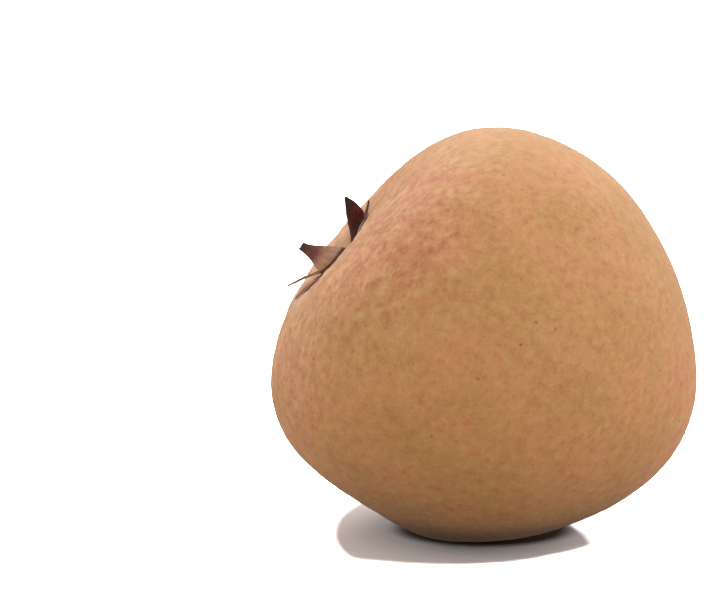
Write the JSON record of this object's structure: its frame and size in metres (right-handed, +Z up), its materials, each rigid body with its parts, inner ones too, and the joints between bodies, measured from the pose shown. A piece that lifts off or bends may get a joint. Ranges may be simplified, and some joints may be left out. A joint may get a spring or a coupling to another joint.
{
  "type": "sapodilla",
  "caption": "Whole round sapodilla with scurfy tan skin, lying on its side, with its dry calyx and stalk stub in a hollow at the stem end.",
  "frame": {"origin": "on the flat spot that the fruit rests on, straight below the fruit's centre", "axes": "+Z up; the stem end points up to the left, towards -X, and the apex points down to the right, towards +X; the viewer of the picture looks along +Y"},
  "size_m": [0.0762, 0.0731, 0.0737],
  "materials": {
    "skin": "matt scurfy tan skin with reddish brown specks and a pink flush",
    "dry_sepal": "dry leathery dark red-brown sepal",
    "stalk_bark": "dry greyish brown bark"
  },
  "bodies": {
    "root": {"fruit": "skin", "calyx": "dry_sepal", "stalk_stub": "stalk_bark"}
  },
  "joints": []
}
